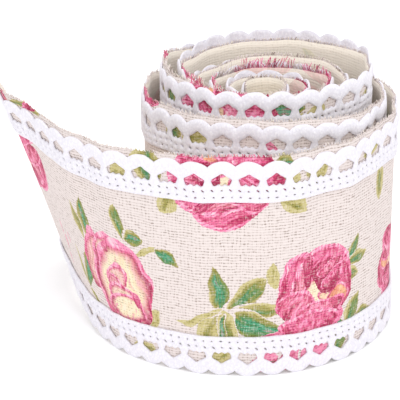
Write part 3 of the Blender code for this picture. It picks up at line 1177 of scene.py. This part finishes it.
def printed_linen():
    """Loosely woven linen with a pigment print: matt, slubby threads with painted shade in the grooves
    and small gaps between them, the print's colours soaked into the threads and only a ghost of them on the
    reverse."""
    material, tree, shader = shader_tree("printed_linen", roughness=0.92, sheen=0.12)
    flat = node(tree, "ShaderNodeAttribute", attribute_name="flat").outputs["Vector"]
    along, _, off = node(tree, "ShaderNodeSeparateXYZ", [flat]).outputs
    level = node(tree, "ShaderNodeVectorMath", [flat, (1.0, 1.0, 0.0)], operation="MULTIPLY")

    # The design's edges wobble slowly and are ragged by a thread or less.
    wander = level
    for scale, reach in PRINT_WOBBLES:
        wobble = node(tree, "ShaderNodeTexNoise", {"Vector": level, "Scale": scale, "Detail": 1.0})
        wander = node(
            tree,
            "ShaderNodeVectorMath",
            [wobble.outputs["Color"], (reach, reach, 0.0), wander],
            operation="MULTIPLY_ADD",
        )
    middle = sum(reach for _, reach in PRINT_WOBBLES) / 2
    wander = node(tree, "ShaderNodeVectorMath", [wander, (-middle, -middle, 0.0)], operation="ADD")
    x, y, _ = node(tree, "ShaderNodeSeparateXYZ", [wander]).outputs
    repeat = node(tree, "ShaderNodeMath", [x, PRINT_REPEAT], operation="FLOORED_MODULO")
    height = node(tree, "ShaderNodeMath", [along, PRINT_DRIFT, y], operation="MULTIPLY_ADD")
    spot = node(tree, "ShaderNodeCombineXYZ", [repeat, height])

    # Threads carry the colour, so the print is streaked along both ways of the weave.
    warp_streaks = brush_marks(tree, level, (0.5, 3.4, 1.0), 2.0)
    weft_streaks = brush_marks(tree, level, (3.4, 0.5, 1.0), 2.0)
    slubs = node(tree, "ShaderNodeMath", [warp_streaks, weft_streaks], operation="ADD")

    threads, gap = plain_weave(tree, level)
    # The ground darkens where the threads sink, which is painted shade in the grooves between them, and
    # varies with the slubs' own random tone. The same value is the bump's height.
    shade = node(tree, "ShaderNodeMath", [slubs, 0.9, threads], operation="MULTIPLY_ADD")
    groove_shaded_ground = node(tree, "ShaderNodeValToRGB", {"Fac": shade}, stops=LINEN_GROUND_AND_GROOVE_SHADE)

    # Leaves and stems, brushed along their length.
    stroke = stroke_place(tree, spot)
    _, side, own_tone = node(tree, "ShaderNodeSeparateXYZ", [stroke]).outputs
    rim = leaf_reach(tree, stroke)
    cover = node(tree, "ShaderNodeMapRange", {"Value": rim, "From Min": 1.0, "From Max": 0.9})
    brushed = brush_marks(tree, stroke, (1.1, 2.6, 5.3), 3.0)
    # A leaf is greenest along its middle and pales to olive at its edge. Pink marks keep one tone.
    edging = node(tree, "ShaderNodeMapRange", {"Value": rim, "From Min": 0.2, "From Max": 0.85})
    kept = node(tree, "ShaderNodeMapRange", {"Value": own_tone, "From Min": 2.2, "From Max": 3.0})
    edged = node(tree, "ShaderNodeMapRange", {"Value": kept, "To Min": -1.25, "To Max": 0.0})
    tone = node(tree, "ShaderNodeMath", [edging, edged, own_tone], operation="MULTIPLY_ADD")
    tone = node(tree, "ShaderNodeMath", [brushed, 3.2, tone], operation="MULTIPLY_ADD")
    # The light falls on one side of it.
    lit = node(tree, "ShaderNodeMapRange", {"Value": kept, "To Min": -0.45, "To Max": 0.0})
    tone = node(tree, "ShaderNodeMath", [side, lit, tone], operation="MULTIPLY_ADD")
    tone = node(tree, "ShaderNodeMath", [tone, 1 / 3], operation="MULTIPLY")
    leaf = node(tree, "ShaderNodeValToRGB", {"Fac": tone}, stops=LEAF_GREENS)
    painted = node(tree, "ShaderNodeMix", {"Factor": cover, "A": groove_shaded_ground, "B": leaf}, data_type="RGBA")

    rose, covered = rose_print(tree, spot)
    painted = node(tree, "ShaderNodeMix", {"Factor": covered, "A": painted, "B": rose}, data_type="RGBA")

    # The paint is thin where a thread stands up. The gaps between threads get painted shade: the colour is
    # multiplied darker there, for the shadow seen through the open weave.
    thin = node(
        tree, "ShaderNodeMapRange", {"Value": slubs, "From Min": 0.03, "From Max": 0.3, "To Max": 0.5}
    )
    painted = node(tree, "ShaderNodeMix", {"Factor": thin, "A": painted, "B": groove_shaded_ground}, data_type="RGBA")
    open_weave = node(tree, "ShaderNodeMath", [slubs, 2.6, gap], operation="MULTIPLY_ADD")
    holes = node(tree, "ShaderNodeMapRange", {"Value": open_weave, "From Min": 0.0, "From Max": 0.5})
    # Painted shade: near a gap the colour is multiplied by the gap shade.
    gap_shaded = node(
        tree,
        "ShaderNodeMix",
        {"Factor": 1.0, "A": painted, "B": srgb(LINEN_GAP_SHADE)},
        data_type="RGBA",
        blend_type="MULTIPLY",
    )
    woven = node(tree, "ShaderNodeMix", {"Factor": holes, "A": gap_shaded, "B": painted}, data_type="RGBA")

    # The reverse shows the cloth's own colour and a ghost of the print.
    ghost = node(
        tree, "ShaderNodeMix", {"Factor": 0.7, "A": woven, "B": srgb(LINEN_REVERSE)}, data_type="RGBA"
    )
    front = node(tree, "ShaderNodeMath", [off, -0.1], operation="GREATER_THAN")
    colour = node(tree, "ShaderNodeMix", {"Factor": front, "A": ghost, "B": woven}, data_type="RGBA")
    bump = node(tree, "ShaderNodeBump", {"Strength": 0.6, "Distance": 0.12 * MM, "Height": shade})
    dress(tree, shader, colour, bump)
    return material


def crocheted_cotton():
    """White mercerised crochet cotton: soft and matt, its stitches a low relief of short plump loops, with
    painted shade, a lilac grey, between the loops.
    """
    material, tree, shader = shader_tree("crocheted_cotton", roughness=0.85, sheen=0.2)
    flat = node(tree, "ShaderNodeAttribute", attribute_name="flat").outputs["Vector"]
    loops = node(tree, "ShaderNodeVectorMath", [flat, (1.6, 1.1, 0.6)], operation="MULTIPLY")
    cells = node(tree, "ShaderNodeTexVoronoi", {"Vector": loops, "Scale": 1.0}, feature="F1")
    fibres = node(tree, "ShaderNodeTexNoise", {"Vector": flat, "Scale": 3.0, "Detail": 3.0})
    relief = node(
        tree, "ShaderNodeMath", [cells.outputs["Distance"], -0.8, fibres], operation="MULTIPLY_ADD"
    )
    # The colour follows the relief: painted shade between the loops, and the fibres' own random tone.
    colour = node(tree, "ShaderNodeValToRGB", {"Fac": relief}, stops=COTTON_WHITES_AND_PIT_SHADE)
    bump = node(tree, "ShaderNodeBump", {"Strength": 0.5, "Distance": 0.2 * MM, "Height": relief})
    dress(tree, shader, colour, bump)
    return material


def studio_paper():
    """Matt white seamless paper under the roll."""
    material, tree, shader = shader_tree("studio_paper", roughness=0.95, sheen=0.0)
    fibres = node(tree, "ShaderNodeTexNoise", {"Scale": 40.0, "Detail": 2.0})
    colour = node(tree, "ShaderNodeValToRGB", {"Fac": fibres}, stops=PAPER_WHITES)
    dress(tree, shader, colour)
    # The paper is lit from behind too, so that only a trace of the roll's shadow is left on it.
    shader.inputs["Emission Color"].default_value = srgb("FFFFFF")
    shader.inputs["Emission Strength"].default_value = PAPER_GLOW
    return material


# ---- Pieces -----------------------------------------------------------------------------------------


LINEN_COLUMN_STEP = 1.25
LINEN_ROWS = 30
LINEN_LOWER_EDGE = 1.5
LINEN_UPPER_EDGE = RIBBON_WIDTH - RAW_EDGE
FRAY_STEP = 0.3
FRAY_LEAN = 0.5
FRAY_SHIFT = ((-0.25, -0.12, -0.15), (0.25, 0.12, 0.22))
FRAY_LONGEST = 0.9
UPPER_FRAY_LONGEST = 1.3
LEAN_SEED = 11


def linen_pieces(guide, length, laying, material):
    """The woven sheet, and the loose thread ends along its four raw edges."""
    sheet = grown(
        "linen_sheet",
        linen_tree(laying),
        {
            "Length": float(length),
            "Width": LINEN_UPPER_EDGE - LINEN_LOWER_EDGE,
            "Thickness": LINEN_THICKNESS,
            "Columns": round(length / LINEN_COLUMN_STEP),
            "Rows": LINEN_ROWS,
            "Lower edge": LINEN_LOWER_EDGE,
            "Guide": guide,
            "Material": material,
        },
    )
    tree = frayed_tree(laying)
    long_edge = int(length / FRAY_STEP)
    cut_end = int((LINEN_UPPER_EDGE - LINEN_LOWER_EDGE) / FRAY_STEP)
    frays = []
    upper, lower = LINEN_UPPER_EDGE, LINEN_LOWER_EDGE
    for name, count, start, step, turn, longest, follows in (
        ("upper", long_edge, (0.0, upper, 0.0), (FRAY_STEP, 0.0, 0.0), 0.0, UPPER_FRAY_LONGEST, 1.0),
        ("lower", long_edge, (0.0, lower, 0.0), (FRAY_STEP, 0.0, 0.0), pi, FRAY_LONGEST, 0.0),
        ("outer_end", cut_end, (0.0, lower, 0.0), (0.0, FRAY_STEP, 0.0), pi / 2, FRAY_LONGEST, 0.0),
        ("inner_end", cut_end, (length, lower, 0.0), (0.0, FRAY_STEP, 0.0), -pi / 2, FRAY_LONGEST, 0.0),
    ):
        frays.append(
            grown(
                f"{name}_frays",
                tree,
                {
                    "Count": count,
                    "Start": start,
                    "Step": step,
                    "Turn": turn,
                    "Longest": longest,
                    "Follows the cut": follows,
                    "Guide": guide,
                    "Material": material,
                },
            )
        )
    return sheet, frays


def lace_pieces(guide, length, laying, material):
    """The lace along each edge, its scallops outwards."""
    repeat = lace_repeat()
    tree = lace_tree(laying)
    scallops = round(length / SCALLOP_PITCH)
    pieces = []
    for name, height, half_turns in (
        ("upper_lace_trim", RIBBON_WIDTH - RAW_EDGE - LACE_WIDTH, 0.0),
        ("lower_lace_trim", LACE_WIDTH, 1.0),
    ):
        pieces.append(
            grown(
                name,
                tree,
                {
                    "Repeat": repeat,
                    "Count": scallops,
                    "Pitch": float(length / scallops),
                    "Height": height,
                    "Off": LINEN_THICKNESS / 2 + LACE_GAP,
                    "Half turns": half_turns,
                    "Guide": guide,
                    "Material": material,
                },
            )
        )
        close_ends(pieces[-1])
    return pieces


def studio(low):
    """The pale floor, the soft lights and the camera."""
    half = PAPER_SIZE / 2
    corners = [(-half, -half, 0.0), (half, -half, 0.0), (half, half, 0.0), (-half, half, 0.0)]
    mesh = bpy.data.meshes.new("floor")
    mesh.from_pydata(corners, [], [(0, 1, 2, 3)])
    mesh.materials.append(studio_paper())
    floor = add_object("floor", mesh)
    floor.location.z = low

    world = bpy.data.worlds.new("soft_room")
    world.use_nodes = True
    backdrop = world.node_tree.nodes["Background"]
    backdrop.inputs["Color"].default_value = srgb("FFFFFF")
    backdrop.inputs["Strength"].default_value = ROOM_LIGHT
    bpy.context.scene.world = world

    for name, place, size, power in SOFTBOXES:
        light = bpy.data.lights.new(name, "AREA")
        light.size = size
        light.energy = power
        lamp = add_object(name, light)
        lamp.location = place
        lamp.rotation_euler = Vector(place).to_track_quat("Z", "Y").to_euler()

    lens_data = bpy.data.cameras.new("camera")
    lens_data.lens = CAMERA_LENS
    lens_data.shift_y = CAMERA_SHIFT
    lens_data.clip_start = 0.01
    camera = add_object("camera", lens_data)
    camera.location = [v * MM for v in CAMERA_PLACE]
    camera.rotation_euler = (radians(CAMERA_TILT), 0.0, 0.0)
    bpy.context.scene.camera = camera
    bpy.context.scene.view_settings.view_transform = "Standard"


def main():
    guide, length = guide_line()
    laying = lay_along_ribbon()
    linen = printed_linen()
    cotton = crocheted_cotton()
    sheet, frays = linen_pieces(guide, length, laying, linen)
    upper, lower = lace_pieces(guide, length, laying, cotton)
    bpy.data.objects.remove(guide)

    for piece in (sheet, *frays):
        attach(piece, "root")
    for piece in (upper, lower):
        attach(piece, "root")
    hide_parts("linen_ribbon")
    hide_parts("upper_lace")
    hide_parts("lower_lace")
    studio(CAD_BOX[0][2])


main()
